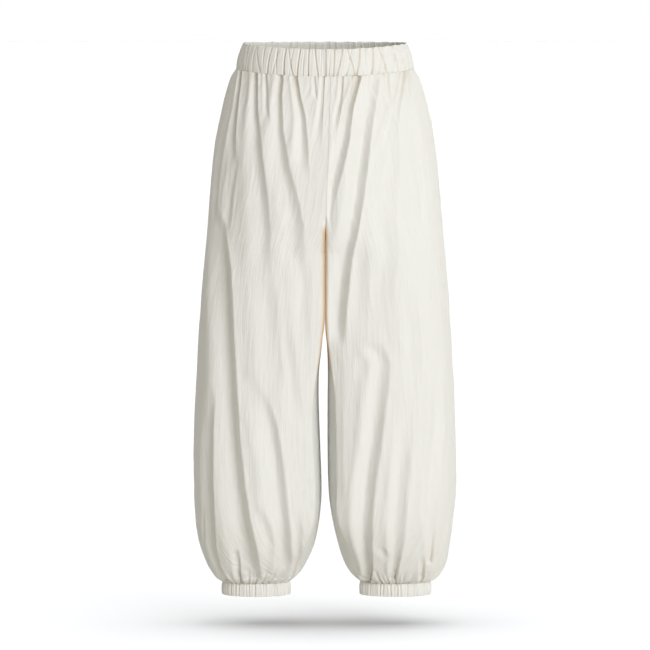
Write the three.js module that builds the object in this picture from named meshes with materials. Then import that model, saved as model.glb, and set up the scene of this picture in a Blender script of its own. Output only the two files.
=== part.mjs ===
// Balloon pants: pull-on cotton pants that stand open as if worn, with no wearer inside.
// Two full legs hang from an elastic waistband and are gathered into narrow elastic cuffs.
// Each leg is a front and a back panel; a pocket bag hangs inside each side seam.
// Millimetres. +X is the wearer's left, -Y is the front and +Z is up.
// The origin is the middle of the waist opening, halfway up the waistband at the sides.

import * as THREE from "three";

// Cloth and seams
const CLOTH = 1.4;
const WAISTBAND_WALL = 3.0;
const CUFF_WALL = 2.4;
const SEAM_GAP = 0.3;
const HALF_GAP = SEAM_GAP / 2;

// Levels at the side seams
const WAISTBAND_HEIGHT = 46;
const WAIST_SEAM_Z = -22.5;
const LEG_BOTTOM_Z = -911;
const CUFF_HEIGHT = 22.5;
const FRONT_DIP = 9.5;
const BACK_DIP = 1;

// The crotch: the rise runs straight down to its bend, then under as a quarter ellipse
const RISE_BEND_Z = -262;
const CROTCH_Z = -322;
const CROTCH_Y = 12;
const SIDE_AT_BEND_Z = -205;
const SIDE_AT_CROTCH_Z = -375;

// The side seam lies a little in front of the widest line, as a share of the front's width
const SIDE_SEAM_AT = 0.93;
// The front rise seam is pulled to the wearer's left by the gathers, most at the waist
const RISE_SHIFT_TOP = 10;
const RISE_SHIFT_REACH = 75;

// How far from the waist seam or a cuff the cloth settles to the seam's own line
const END_REACH = 24;
const WAIST_HALF_WIDTH = 153;

// Bezier handle lengths, in depths: a row is a quarter ellipse at the hips and a half one at the knee.
// At the thigh the two legs press together, so each has a flat inner wall and a tight corner there.
const QUARTER = 0.5523;
const HALF = 4 / 3;
const THIGH_OUTER = 1.0;
// The front and back at that corner, and their crown next to it, in depths
const INNER_DEPTH = 0.95;
const INNER_CROWN = 1.1;
// The corner's radius, and how far the rise turns under while the hip's section becomes the thigh's
const CORNER = 13;
const CORNER_STARTS = 0.6;
// Levels between which the side turns from hip to thigh, and the thigh to knee
const HIP_LEVEL = -170;
const THIGH_LEVEL = -430;
const KNEE_LEVEL = -680;

// Half widths of the legs from the middle of the body, by level
const OUTLINE = [
  { z: -22, right: 154, left: 154 },
  { z: -45, right: 164.5, left: 165 },
  { z: -95, right: 178, left: 180 },
  { z: -150, right: 189, left: 190.5 },
  { z: -230, right: 198, left: 199 },
  { z: -346, right: 208, left: 208.5 },
  { z: -512, right: 220.5, left: 220 },
  { z: -650, right: 227, left: 225.5 },
  { z: -750, right: 227.5, left: 227 },
  { z: -805, right: 224.5, left: 222.5 },
  { z: -844, right: 218, left: 218 },
  { z: -875, right: 207, left: 211.5 },
  { z: -895, right: 193, left: 199 },
  { z: -911, right: 178.5, left: 183.5 },
];

// The legs' inner edges, from the middle of the body
const INSEAM = [
  { z: -322, right: 0.2, left: 0.2 },
  { z: -440, right: 0.2, left: 0.2 },
  { z: -490, right: 1.2, left: 0.6 },
  { z: -520, right: 6.5, left: 3 },
  { z: -595, right: 11, left: 4.5 },
  { z: -680, right: 8, left: 4.5 },
  { z: -755, right: 6, left: 6.5 },
  { z: -800, right: 9.5, left: 12.5 },
  { z: -844, right: 18, left: 22.5 },
  { z: -875, right: 31, left: 32.5 },
  { z: -895, right: 43.5, left: 44 },
  { z: -911, right: 61, left: 61 },
];

// How far the front and back stand from the side line
const DEPTH = [
  { z: -22, front: 98, back: 96 },
  { z: -75, front: 108, back: 110 },
  { z: -140, front: 117, back: 124 },
  { z: -210, front: 121, back: 132 },
  { z: -300, front: 119, back: 126 },
  { z: -400, front: 116, back: 116 },
  { z: -600, front: 114, back: 112 },
  { z: -740, front: 114, back: 114 },
  { z: -800, front: 109, back: 111 },
  { z: -845, front: 93, back: 95 },
  { z: -875, front: 74, back: 76 },
  { z: -895, front: 58, back: 59 },
  { z: -911, front: 43, back: 43 },
];

// The waistband's own section, from its seam up to the rolled top edge
const WAISTBAND = [
  { rise: 0, width: 153, front: 98, back: 96 },
  { rise: 14, width: 151, front: 97, back: 95 },
  { rise: 32, width: 146, front: 94, back: 92 },
  { rise: 44, width: 141, front: 90.5, back: 89 },
];

// Elastic cuffs, round the ankle ends of the legs
const CUFFS = [
  { side: -1, centre: -119.3, half_width: 58.5, half_depth: 42 },
  { side: 1, centre: 122, half_width: 61, half_depth: 42 },
];

// Gather troughs of the front at the waist seam. lean is how far the trough's top is from its foot on
// the waistband, and pull is how far it runs down the leg: 0 stays in the waistband.
const FRONT_GATHERS = [
  { x: -146, lean: 9, pull: 60 },
  { x: -134.5, lean: 8, pull: 75 },
  { x: -124.5, lean: 6, pull: 45 },
  { x: -113, lean: -4, pull: 0 },
  { x: -102, lean: 7, pull: 50 },
  { x: -87, lean: 5, pull: 0 },
  { x: -71, lean: 4, pull: 75 },
  { x: -59, lean: -6, pull: 0 },
  { x: -47, lean: 4, pull: 60 },
  { x: -30, lean: 8, pull: 30 },
  { x: -13, lean: 2, pull: 40 },
  { x: 1, lean: 0, pull: 0 },
  { x: 20.5, lean: 4, pull: 55 },
  { x: 37, lean: -7, pull: 0 },
  { x: 54.5, lean: 5, pull: 70 },
  { x: 67, lean: 1, pull: 0 },
  { x: 79.5, lean: 1, pull: 45 },
  { x: 92, lean: -5, pull: 0 },
  { x: 105.5, lean: -9, pull: 50 },
  { x: 122, lean: -6, pull: 35 },
  { x: 138.5, lean: -7, pull: 60 },
];
// The back's gathers: how many, how much of the half turn they take, their lean and their pull
const BACK_GATHERS = 21;
const BACK_SPREAD = 0.94;
const BACK_LEAN = 14;
const BACK_PULL = 40;
// The waistband's outer half width, on which a gather's x becomes an angle
const RIB_REACH = 154.5;

// Long troughs and the ridges beside them, in real sizes as seen from the front or the back.
// Each runs through three points (x, z); depth is negative for a ridge; width is its half width.
const FOLDS = [
  { face: "front", x0: -141, z0: -35, x1: -145, z1: -115, x2: -154, z2: -180, depth: 8, width: 12 },
  { face: "front", x0: -117, z0: -30, x1: -112, z1: -150, x2: -97, z2: -370, depth: 7, width: 13 },
  { face: "front", x0: -70, z0: -30, x1: -66, z1: -170, x2: -39, z2: -380, depth: 6, width: 14 },
  { face: "front", x0: -46, z0: -30, x1: -41, z1: -110, x2: -33, z2: -215, depth: 6, width: 11 },
  { face: "front", x0: -190, z0: -215, x1: -160, z1: -480, x2: -116, z2: -885, depth: 11, width: 19 },
  { face: "front", x0: -122, z0: -545, x1: -84, z1: -680, x2: -62, z2: -885, depth: 8, width: 16 },
  { face: "front", x0: -86, z0: -440, x1: -80, z1: -500, x2: -76, z2: -590, depth: 3, width: 14 },
  { face: "front", x0: -106, z0: -775, x1: -92, z1: -825, x2: -94, z2: -890, depth: 5, width: 10 },
  { face: "front", x0: 54, z0: -35, x1: 33, z1: -145, x2: 12, z2: -230, depth: 8, width: 12 },
  { face: "front", x0: 86, z0: -35, x1: 64, z1: -215, x2: 22, z2: -540, depth: 9, width: 14 },
  { face: "front", x0: 136, z0: -28, x1: 121, z1: -160, x2: 114, z2: -350, depth: 5, width: 14 },
  { face: "front", x0: 118, z0: -400, x1: 110, z1: -450, x2: 100, z2: -520, depth: 3, width: 16 },
  { face: "front", x0: 108, z0: -510, x1: 89, z1: -690, x2: 76, z2: -885, depth: 11, width: 19 },
  { face: "front", x0: 152, z0: -640, x1: 136, z1: -780, x2: 121, z2: -890, depth: 6, width: 12 },
  { face: "front", x0: 200, z0: -560, x1: 192, z1: -700, x2: 181, z2: -880, depth: 6, width: 12 },
  { face: "front", x0: 34, z0: -600, x1: 40, z1: -740, x2: 62, z2: -895, depth: 5, width: 11 },
  { face: "back", x0: -128, z0: -28, x1: -124, z1: -140, x2: -132, z2: -300, depth: 7, width: 13 },
  { face: "back", x0: -84, z0: -28, x1: -76, z1: -170, x2: -50, z2: -350, depth: 6, width: 13 },
  { face: "back", x0: -40, z0: -28, x1: -34, z1: -120, x2: -20, z2: -240, depth: 5, width: 11 },
  { face: "back", x0: -60, z0: -380, x1: -105, z1: -610, x2: -112, z2: -885, depth: 10, width: 18 },
  { face: "back", x0: -170, z0: -470, x1: -172, z1: -690, x2: -148, z2: -885, depth: 8, width: 16 },
  { face: "back", x0: -42, z0: -600, x1: -52, z1: -740, x2: -78, z2: -885, depth: 5, width: 12 },
  { face: "back", x0: 44, z0: -28, x1: 36, z1: -130, x2: 18, z2: -250, depth: 6, width: 12 },
  { face: "back", x0: 92, z0: -28, x1: 80, z1: -190, x2: 60, z2: -390, depth: 7, width: 14 },
  { face: "back", x0: 134, z0: -28, x1: 140, z1: -150, x2: 150, z2: -290, depth: 6, width: 12 },
  { face: "back", x0: 70, z0: -420, x1: 92, z1: -640, x2: 108, z2: -885, depth: 10, width: 18 },
  { face: "back", x0: 168, z0: -500, x1: 170, z1: -700, x2: 152, z2: -885, depth: 8, width: 15 },
  { face: "back", x0: 36, z0: -640, x1: 52, z1: -770, x2: 80, z2: -890, depth: 5, width: 11 },
];

// Gathers and their sizes
const WAIST_PUFF = 3.4;
const WAISTBAND_PUFF = 2.6;
const ANKLE_GATHERS = 18;
const ANKLE_PUFF = 4.2;
const ANKLE_PULL = 30;
const CUFF_RIBS = 38;
const CUFF_PUFF = 1.5;
const PUFF_ROUNDNESS = 0.7;
const FOLD_FADE = 55;
const SEAM_FADE = 16;

// Levels of a panel's rows at the side seam
const ROW_LEVELS = [
  -22.8, -36, -56, -84, -120, -160, -200, -230, -258, -286, -314, -345,
  -376, -425, -480, -545, -615, -685, -745, -795, -835, -866, -890, -910.7,
];
const FRONT_COLUMNS = 28;
const BACK_COLUMNS = 30;
const COLUMNS_PER_RIB = 4;
const CUFF_COLUMNS_PER_RIB = 3;
const ROW_SAMPLES = 72;
const WALL_SAMPLES = 12;
const BROAD_SAMPLES = ROW_SAMPLES - WALL_SAMPLES;

// Pocket bags inside the side seams, lying against the front panels' inner faces
const POCKET_TOP_LEVEL = -56;
const POCKET_BOTTOM_LEVEL = -345;
const POCKET_INNER_COLUMN = 10;
const POCKET_CLEARANCE = 0.8;

const ECRU = { color: 0xeeebe2, roughness: 0.85, metalness: 0 };

const clamp01 = (t) => Math.min(1, Math.max(0, t));
const mix = (a, b, t) => a + (b - a) * t;
const smooth = (t) => clamp01(t) ** 2 * (3 - 2 * clamp01(t));

// A smooth curve through one column of a table, by its z or rise column.
function curveOf(rows, key, level = "z") {
  const sorted = [...rows].sort((a, b) => a[level] - b[level]);
  const at = sorted.map((row) => row[level]);
  const value = sorted.map((row) => row[key]);
  const last = at.length - 1;
  const slope = value.map((_, i) => {
    const lower = Math.max(i - 1, 0);
    const upper = Math.min(i + 1, last);
    return (value[upper] - value[lower]) / (at[upper] - at[lower]);
  });
  return (z) => {
    const zz = Math.min(at[last], Math.max(at[0], z));
    let i = 0;
    while (i < last - 1 && zz > at[i + 1]) i += 1;
    const span = at[i + 1] - at[i];
    const t = (zz - at[i]) / span;
    const from = value[i] * (1 + 2 * t) * (1 - t) ** 2 + slope[i] * span * t * (1 - t) ** 2;
    const to = value[i + 1] * t * t * (3 - 2 * t) + slope[i + 1] * span * t * t * (t - 1);
    return from + to;
  };
}

const outline = { "-1": curveOf(OUTLINE, "right"), 1: curveOf(OUTLINE, "left") };
const inseam = { "-1": curveOf(INSEAM, "right"), 1: curveOf(INSEAM, "left") };
const depth = { front: curveOf(DEPTH, "front"), back: curveOf(DEPTH, "back") };

// Where a row starts on the rise or inseam. turn goes from 0 above the crotch's bend to 1 below it.
function innerEdge(side, face, level) {
  const dip = face === "front" ? FRONT_DIP : BACK_DIP;
  const reach = depth[face];
  const sign = face === "front" ? -1 : 1;
  if (level > SIDE_AT_BEND_Z) {
    const t = (WAIST_SEAM_Z - level) / (WAIST_SEAM_Z - SIDE_AT_BEND_Z);
    const z = mix(WAIST_SEAM_Z - dip, RISE_BEND_Z, t);
    return { x: 0, y: sign * reach(z), z, turn: 0 };
  }
  if (level > SIDE_AT_CROTCH_Z) {
    const t = (SIDE_AT_BEND_Z - level) / (SIDE_AT_BEND_Z - SIDE_AT_CROTCH_Z);
    const turn = 1 - Math.cos((t * Math.PI) / 2);
    const y = mix(sign * reach(RISE_BEND_Z), CROTCH_Y, turn);
    const z = mix(RISE_BEND_Z, CROTCH_Z, Math.sin((t * Math.PI) / 2));
    return { x: inseam[side](CROTCH_Z) * turn, y, z, turn };
  }
  const t = (SIDE_AT_CROTCH_Z - level) / (SIDE_AT_CROTCH_Z - LEG_BOTTOM_Z);
  const z = mix(CROTCH_Z, LEG_BOTTOM_Z, t);
  return { x: inseam[side](z), y: mix(CROTCH_Y, 0, t), z, turn: 1 };
}

// Points of one row from the inner edge to the widest line, with the distance along it.
const rowCache = new Map();
function rowOf(side, face, level) {
  const key = `${side} ${face} ${level.toFixed(4)}`;
  if (!rowCache.has(key)) rowCache.set(key, shapeRow(side, face, level));
  return rowCache.get(key);
}

function shapeRow(side, face, level) {
  const inner = innerEdge(side, face, level);
  const sign = face === "front" ? -1 : 1;
  const wide = outline[side](level);
  const deep = depth[face]((inner.z + level) / 2);
  const thigh = smooth((HIP_LEVEL - level) / (HIP_LEVEL - THIGH_LEVEL));
  const knee = smooth((THIGH_LEVEL - level) / (THIGH_LEVEL - KNEE_LEVEL));
  const start = new THREE.Vector2(inner.x, inner.y);

  // Down to the thigh: a flat wall between the legs, a tight corner, then the broad front or back
  const keep = smooth(1 - inner.turn / CORNER_STARTS);
  const rest = sign * depth[face](Math.max(inner.z, RISE_BEND_Z));
  const startHeight = mix(sign * deep * mix(1, INNER_DEPTH, inner.turn), rest, keep);
  const crownHeight = mix(sign * deep * mix(1, INNER_CROWN, inner.turn), rest, keep);
  const broad = bezierPoints(
    [
      [inner.x, startHeight],
      [inner.x + QUARTER * (wide - inner.x), crownHeight],
      [wide, sign * deep * mix(QUARTER, THIGH_OUTER, thigh)],
      [wide, 0],
    ],
    Array.from({ length: BROAD_SAMPLES + 1 }, (_, i) => (i / BROAD_SAMPLES) ** 2),
  );
  const peak = Math.max(...broad.map((p) => sign * p.y));
  broad.forEach((p) => {
    p.y *= mix(deep / peak, 1, keep);
  });
  const corner = Math.min(CORNER, 0.8 * Math.max(0, sign * (broad[0].y - inner.y))) + 1e-6;
  broad.forEach((p) => {
    const near = 1 - clamp01((p.x - inner.x) / corner);
    p.y -= sign * corner * (1 - Math.sqrt(1 - near * near));
  });
  const wall = Array.from({ length: WALL_SAMPLES }, (_, i) =>
    start.clone().lerp(broad[0], i / WALL_SAMPLES),
  );
  const upper = evenly([...wall, ...broad]);

  // From the knee down: each leg a tube of its own
  const tube = bezierPoints(
    [
      [inner.x, inner.y],
      [inner.x, sign * deep * HALF],
      [wide, sign * deep * HALF],
      [wide, 0],
    ],
    Array.from({ length: ROW_SAMPLES + 1 }, (_, i) => i / ROW_SAMPLES),
  );
  const lower = evenly(tube);
  const points = evenly(upper.map((p, i) => p.clone().lerp(lower[i], knee)));
  const along = distances(points);
  return { points, along, length: along[ROW_SAMPLES], innerZ: inner.z };
}

function bezierPoints(handles, places) {
  const curve = new THREE.CubicBezierCurve(...handles.map(([x, y]) => new THREE.Vector2(x, y)));
  return places.map((place) => curve.getPoint(place));
}

function distances(points) {
  const along = [0];
  points.slice(1).forEach((p, i) => along.push(along[i] + p.distanceTo(points[i])));
  return along;
}

// The same line with its points evenly apart.
function evenly(points) {
  const along = distances(points);
  const last = points.length - 1;
  return Array.from({ length: ROW_SAMPLES + 1 }, (_, i) => {
    const target = (along[last] * i) / ROW_SAMPLES;
    const next = Math.max(1, along.findIndex((d) => d >= target - 1e-9));
    const t = clamp01((target - along[next - 1]) / Math.max(along[next] - along[next - 1], 1e-9));
    return points[next - 1].clone().lerp(points[next], t);
  });
}

// The share of the row's length at which it is that far from the middle of the body.
function shareAtX(row, x) {
  const i = row.points.findIndex((p) => p.x > x);
  if (i < 0) return 1 + (x - row.points[ROW_SAMPLES].x) / row.length;
  if (i === 0) return (x - row.points[0].x) / row.length;
  const [a, b] = [row.points[i - 1], row.points[i]];
  const t = (x - a.x) / (b.x - a.x);
  return mix(row.along[i - 1], row.along[i], t) / row.length;
}

// A point on the smooth garment, with no folds. round runs from 0 at the front's inner edge, over 1
// at the widest line, to 2 at the back's inner edge.
function smoothSkin(side, round, level) {
  const face = round <= 1 ? "front" : "back";
  const share = round <= 1 ? round : 2 - round;
  const row = rowOf(side, face, level);
  const target = share * row.length;
  let i = row.along.findIndex((d) => d >= target);
  if (i < 1) i = target <= 0 ? 1 : ROW_SAMPLES;
  const t = (target - row.along[i - 1]) / (row.along[i] - row.along[i - 1]);
  const p = row.points[i - 1].clone().lerp(row.points[i], t);
  const across = (1 - Math.cos(Math.PI * clamp01(share))) / 2;
  const atWaist = smooth(1 - (WAIST_SEAM_Z - level) / END_REACH);
  const below = level - waistDip(p.x, face === "front");
  return new THREE.Vector3(side * p.x, p.y, mix(mix(row.innerZ, level, across), below, atWaist));
}

// The seam between the waistband and the legs dips towards the middle of the front and the back.
function waistDip(x, front) {
  const dip = front ? FRONT_DIP : BACK_DIP;
  return dip * Math.max(0, 1 - (x / WAIST_HALF_WIDTH) ** 2);
}

// Outward normal of any surface given as a function of round and level. It lies flat at the ends, so
// that no fold lifts the cloth into the waistband or a cuff.
function normalOf(surface, side, round, level) {
  const dr = 0.004;
  const dz = 1.5;
  const r0 = Math.max(0, round - dr);
  const r1 = Math.min(2, round + dr);
  const z0 = Math.max(LEG_BOTTOM_Z, level - dz);
  const z1 = Math.min(WAIST_SEAM_Z, level + dz);
  const across = surface(side, r1, level).sub(surface(side, r0, level));
  const up = surface(side, round, z1).sub(surface(side, round, z0));
  const normal = across.cross(up).multiplyScalar(side).normalize();
  normal.z *= smooth((WAIST_SEAM_Z - level) / END_REACH) * smooth((level - LEG_BOTTOM_Z) / END_REACH);
  return normal.normalize();
}

// A puffed outline between troughs: 0 at each trough and 1 midway to the next.
function puff(troughs, x) {
  let i = troughs.findIndex((t) => t > x);
  if (i < 0) i = troughs.length;
  const from = troughs[i - 1] ?? troughs[0] - (troughs[1] - troughs[0]);
  const to = troughs[i] ?? troughs[i - 1] + (troughs[i - 1] - troughs[i - 2]);
  return Math.sin(Math.PI * clamp01((x - from) / (to - from))) ** PUFF_ROUNDNESS;
}

// Uneven spacing for the gathers that don't show: the golden ratio never repeats itself.
const uneven = (i) => ((i * 0.618034) % 1) - 0.5;

const backGathers = Array.from({ length: BACK_GATHERS }, (_, i) => {
  const t = (i + 0.5 + 0.45 * uneven(i)) / BACK_GATHERS;
  const x = WAIST_HALF_WIDTH * Math.sin((t - 0.5) * Math.PI * BACK_SPREAD);
  return { x, lean: BACK_LEAN * uneven(i + 3), pull: i % 3 ? BACK_PULL * (1 + uneven(i)) : 0 };
});
const gathers = { front: FRONT_GATHERS, back: backGathers };

const waistTroughs = {};
for (const side of [-1, 1]) {
  for (const face of ["front", "back"]) {
    const row = rowOf(side, face, WAIST_SEAM_Z);
    waistTroughs[side + face] = gathers[face]
      .filter((g) => g.pull > 0)
      .map((g) => ({ share: shareAtX(row, side * g.x), pull: g.pull }))
      .filter((g) => g.share > 0)
      .sort((a, b) => a.share - b.share);
  }
}

function waistGather(side, face, share, level) {
  const troughs = waistTroughs[side + face];
  const below = WAIST_SEAM_Z - level;
  const away = (g) => Math.abs(g.share - share);
  const near = troughs.reduce((best, g) => (away(g) < away(best) ? g : best));
  const reach = 1 - smooth(below / (near.pull * 1.3));
  return WAIST_PUFF * reach * (puff(troughs.map((g) => g.share), share) - 0.4);
}

// Gathers above a cuff, counted round the whole leg from the inseam.
const ankleTroughs = Array.from(
  { length: ANKLE_GATHERS + 3 },
  (_, i) => ((i - 1 + 0.5 * uneven(i)) * 2) / ANKLE_GATHERS,
);

function ankleGather(round, level) {
  const above = level - LEG_BOTTOM_Z;
  const reach = 1 - smooth(above / (2 * ANKLE_PULL));
  return ANKLE_PUFF * reach * (puff(ankleTroughs, round) - 0.5);
}

// A long fold's depth at a place: a trough with raised shoulders.
function foldDepth(fold, side, face, share, z, row) {
  if (fold.face !== face || Math.sign(fold.x1) !== side || z > fold.z0 || z < fold.z2) return 0;
  const t = (fold.z0 - z) / (fold.z0 - fold.z2);
  const middle = (fold.z0 - fold.z1) / (fold.z0 - fold.z2);
  const bow = (fold.x1 - mix(fold.x0, fold.x2, middle)) / (middle * (1 - middle));
  const x = mix(fold.x0, fold.x2, t) + bow * t * (1 - t);
  const off = ((share - shareAtX(row, side * x)) * row.length) / fold.width;
  const ends = smooth((fold.z0 - z) / FOLD_FADE) * smooth((z - fold.z2) / FOLD_FADE);
  const atWaist = fold.z0 > WAIST_SEAM_Z - 20 ? smooth((z - fold.z2) / FOLD_FADE) : ends;
  return -fold.depth * atWaist * (1 - 0.5 * off * off) * Math.exp(-0.5 * off * off);
}

function foldsAt(side, round, level) {
  const face = round <= 1 ? "front" : "back";
  const share = round <= 1 ? round : 2 - round;
  const row = rowOf(side, face, level);
  const z = mix(row.innerZ, level, (1 - Math.cos(Math.PI * share)) / 2);
  const deep = FOLDS.reduce((sum, fold) => sum + foldDepth(fold, side, face, share, z, row), 0);
  const seam = smooth((share * row.length) / SEAM_FADE);
  return seam * (deep + waistGather(side, face, share, level) + ankleGather(round, level));
}

// A point on the folded garment's outer face.
function skin(side, round, level) {
  const p = smoothSkin(side, round, level);
  const n = normalOf(smoothSkin, side, round, level);
  p.addScaledVector(n, foldsAt(side, round, level));
  p.x = side * Math.max(side * p.x, HALF_GAP);
  if (round < 1) {
    const down = clamp01((p.z - CROTCH_Z) / (WAIST_SEAM_Z - CROTCH_Z));
    p.x += RISE_SHIFT_TOP * down * Math.exp(-((p.x / RISE_SHIFT_REACH) ** 2));
  }
  const atWaist = smooth(1 - (WAIST_SEAM_Z - level) / END_REACH);
  p.z = mix(p.z, level - waistDip(p.x, round < 1), atWaist);
  return p;
}

// A closed wall between two grids of points of the same size, outer and inner.
function wallBetween(outer, inner) {
  const rows = outer.length;
  const columns = outer[0].length;
  const last = columns - 1;
  const points = [...outer.flat(), ...inner.flat()];
  const index = [];
  const at = (layer, r, c) => layer * rows * columns + r * columns + c;
  const quad = (a, b, c, d) => index.push(a, b, c, a, c, d);
  for (let r = 0; r < rows - 1; r += 1) {
    for (let c = 0; c < last; c += 1) {
      quad(at(0, r, c), at(0, r + 1, c), at(0, r + 1, c + 1), at(0, r, c + 1));
      quad(at(1, r, c), at(1, r, c + 1), at(1, r + 1, c + 1), at(1, r + 1, c));
    }
    quad(at(1, r, 0), at(1, r + 1, 0), at(0, r + 1, 0), at(0, r, 0));
    quad(at(0, r, last), at(0, r + 1, last), at(1, r + 1, last), at(1, r, last));
  }
  for (let c = 0; c < last; c += 1) {
    quad(at(0, 0, c), at(0, 0, c + 1), at(1, 0, c + 1), at(1, 0, c));
    quad(at(1, rows - 1, c), at(1, rows - 1, c + 1), at(0, rows - 1, c + 1), at(0, rows - 1, c));
  }
  return geometryOf(points, index);
}

function geometryOf(points, index) {
  const geometry = new THREE.BufferGeometry();
  geometry.setFromPoints(points);
  geometry.setIndex(index);
  geometry.computeVertexNormals();
  return geometry;
}

// A grid of skin points and their normals between two places round the leg.
function skinGrid(side, from, to, columns, levels) {
  return levels.map((level) => {
    const frontGap = HALF_GAP / rowOf(side, "front", level).length;
    const backGap = HALF_GAP / rowOf(side, "back", level).length;
    const start = from + (from < 1 ? frontGap : backGap);
    const end = to - (to <= 1 ? frontGap : backGap);
    return Array.from({ length: columns + 1 }, (_, c) => {
      const round = mix(start, end, c / columns);
      return { point: skin(side, round, level), normal: normalOf(skin, side, round, level) };
    });
  });
}

// Walls run the same way round on both legs, so the mirrored leg's columns are reversed.
const facing = (side, grid) => (side > 0 ? grid : grid.map((row) => [...row].reverse()));
const movedIn = (grid, by) =>
  grid.map((row) => row.map((s) => s.point.clone().addScaledVector(s.normal, -by)));

function panelGeometry(side, from, to, columns) {
  const grid = facing(side, skinGrid(side, from, to, columns, ROW_LEVELS));
  return wallBetween(movedIn(grid, 0), movedIn(grid, CLOTH));
}

// A flat bag of two layers behind the front panel, made from the panel's own points, moved in.
function pocketGeometry(side) {
  const grid = skinGrid(side, 0, SIDE_SEAM_AT, FRONT_COLUMNS, ROW_LEVELS)
    .filter((_, i) => ROW_LEVELS[i] <= POCKET_TOP_LEVEL && ROW_LEVELS[i] >= POCKET_BOTTOM_LEVEL)
    .map((row) => row.slice(POCKET_INNER_COLUMN));
  const faced = facing(side, grid);
  const near = CLOTH + POCKET_CLEARANCE;
  return wallBetween(movedIn(faced, near), movedIn(faced, near + 2 * CLOTH));
}

// A ring round the body or an ankle: sections of points, closed on themselves.
function ringGeometry(sections) {
  const rows = sections[0].length;
  const count = sections.length;
  const index = [];
  for (let s = 0; s < count; s += 1) {
    const next = (s + 1) % count;
    for (let r = 0; r < rows; r += 1) {
      const up = (r + 1) % rows;
      const [a, b] = [s * rows + r, next * rows + r];
      const [c, d] = [next * rows + up, s * rows + up];
      index.push(a, b, c, a, c, d);
    }
  }
  return geometryOf(sections.flat(), index);
}

// A point on an ellipse at an angle from the front, going towards +X.
function onEllipse(angle, halfWidth, front, back) {
  const reach = Math.cos(angle) > 0 ? front : back;
  return new THREE.Vector2(halfWidth * Math.sin(angle), -reach * Math.cos(angle));
}

// The waistband's ribs as angles from the front, with the front's table and the back's loop.
const ribAngle = (x) => Math.asin(x / RIB_REACH);
const ribs = [
  ...FRONT_GATHERS.map((g) => ({ angle: ribAngle(g.x), lean: g.lean })),
  ...backGathers.map((g) => ({ angle: Math.PI - ribAngle(g.x), lean: -g.lean })),
]
  .map((rib) => ({ ...rib, angle: (rib.angle + 2 * Math.PI) % (2 * Math.PI) }))
  .sort((a, b) => a.angle - b.angle);

function waistbandGeometry() {
  const width = curveOf(WAISTBAND, "width", "rise");
  const front = curveOf(WAISTBAND, "front", "rise");
  const back = curveOf(WAISTBAND, "back", "rise");
  const topRise = WAISTBAND_HEIGHT - 2.5;
  const profile = [
    { rise: 0, inset: 0 },
    { rise: 16, inset: 0 },
    { rise: 34, inset: 0 },
    { rise: topRise, inset: 0 },
    { rise: WAISTBAND_HEIGHT, inset: WAISTBAND_WALL * 0.6 },
    { rise: topRise, inset: WAISTBAND_WALL * 1.2 },
    { rise: 0, inset: WAISTBAND_WALL },
  ];
  const sections = [];
  ribs.forEach((rib, i) => {
    const next = ribs[(i + 1) % ribs.length];
    const span = (next.angle - rib.angle + 2 * Math.PI) % (2 * Math.PI);
    for (let c = 0; c < COLUMNS_PER_RIB; c += 1) {
      const t = c / COLUMNS_PER_RIB;
      const bulge = WAISTBAND_PUFF * Math.sin(Math.PI * t) ** PUFF_ROUNDNESS;
      const foot = rib.angle + span * t;
      const lean = mix(rib.lean, next.lean, t) / RIB_REACH;
      const section = profile.map(({ rise, inset }) => {
        const angle = foot + (lean * rise) / WAISTBAND_HEIGHT;
        const ease = 0.55 + 0.45 * Math.sin(Math.PI * clamp01(rise / WAISTBAND_HEIGHT));
        const out = bulge * ease - inset;
        const p = onEllipse(angle, width(rise) + out, front(rise) + out, back(rise) + out);
        const z = WAIST_SEAM_Z + rise - waistDip(p.x, p.y < 0);
        return new THREE.Vector3(p.x, p.y, z);
      });
      sections.push(section);
    }
  });
  return ringGeometry(sections);
}

function cuffGeometry(cuff) {
  const profile = [
    { drop: 0, inset: 0, puff: 0.4 },
    { drop: CUFF_HEIGHT * 0.4, inset: -0.8, puff: 1 },
    { drop: CUFF_HEIGHT - 1.5, inset: 0.2, puff: 0.8 },
    { drop: CUFF_HEIGHT, inset: CUFF_WALL * 0.7, puff: 0.3 },
    { drop: 0, inset: CUFF_WALL, puff: 0 },
  ].reverse();
  const count = CUFF_RIBS * CUFF_COLUMNS_PER_RIB;
  const sections = Array.from({ length: count }, (_, i) => {
    const rib = Math.floor(i / CUFF_COLUMNS_PER_RIB);
    const t = (i % CUFF_COLUMNS_PER_RIB) / CUFF_COLUMNS_PER_RIB;
    const turn = (rib + t + 0.35 * mix(uneven(rib), uneven((rib + 1) % CUFF_RIBS), t)) / CUFF_RIBS;
    const bulge = CUFF_PUFF * Math.sin(Math.PI * t) ** PUFF_ROUNDNESS;
    return profile.map(({ drop, inset, puff: share }) => {
      const out = bulge * share - inset;
      const deep = cuff.half_depth + out;
      const p = onEllipse(turn * 2 * Math.PI, cuff.half_width + out, deep, deep);
      return new THREE.Vector3(cuff.centre + p.x, p.y, LEG_BOTTOM_Z - drop);
    });
  });
  return ringGeometry(sections);
}

const pants = new THREE.Group();

function add(name, geometry) {
  const mesh = new THREE.Mesh(geometry, new THREE.MeshStandardMaterial(ECRU));
  mesh.name = name;
  pants.add(mesh);
}

add("waistband", waistbandGeometry());
for (const cuff of CUFFS) {
  const { side } = cuff;
  const wearers = side > 0 ? "left" : "right";
  add(`front_${wearers}`, panelGeometry(side, 0, SIDE_SEAM_AT, FRONT_COLUMNS));
  add(`back_${wearers}`, panelGeometry(side, SIDE_SEAM_AT, 2, BACK_COLUMNS));
  add(`pocket_bag_${wearers}`, pocketGeometry(side));
  add(`cuff_${wearers}`, cuffGeometry(cuff));
}

export default pants;
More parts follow.
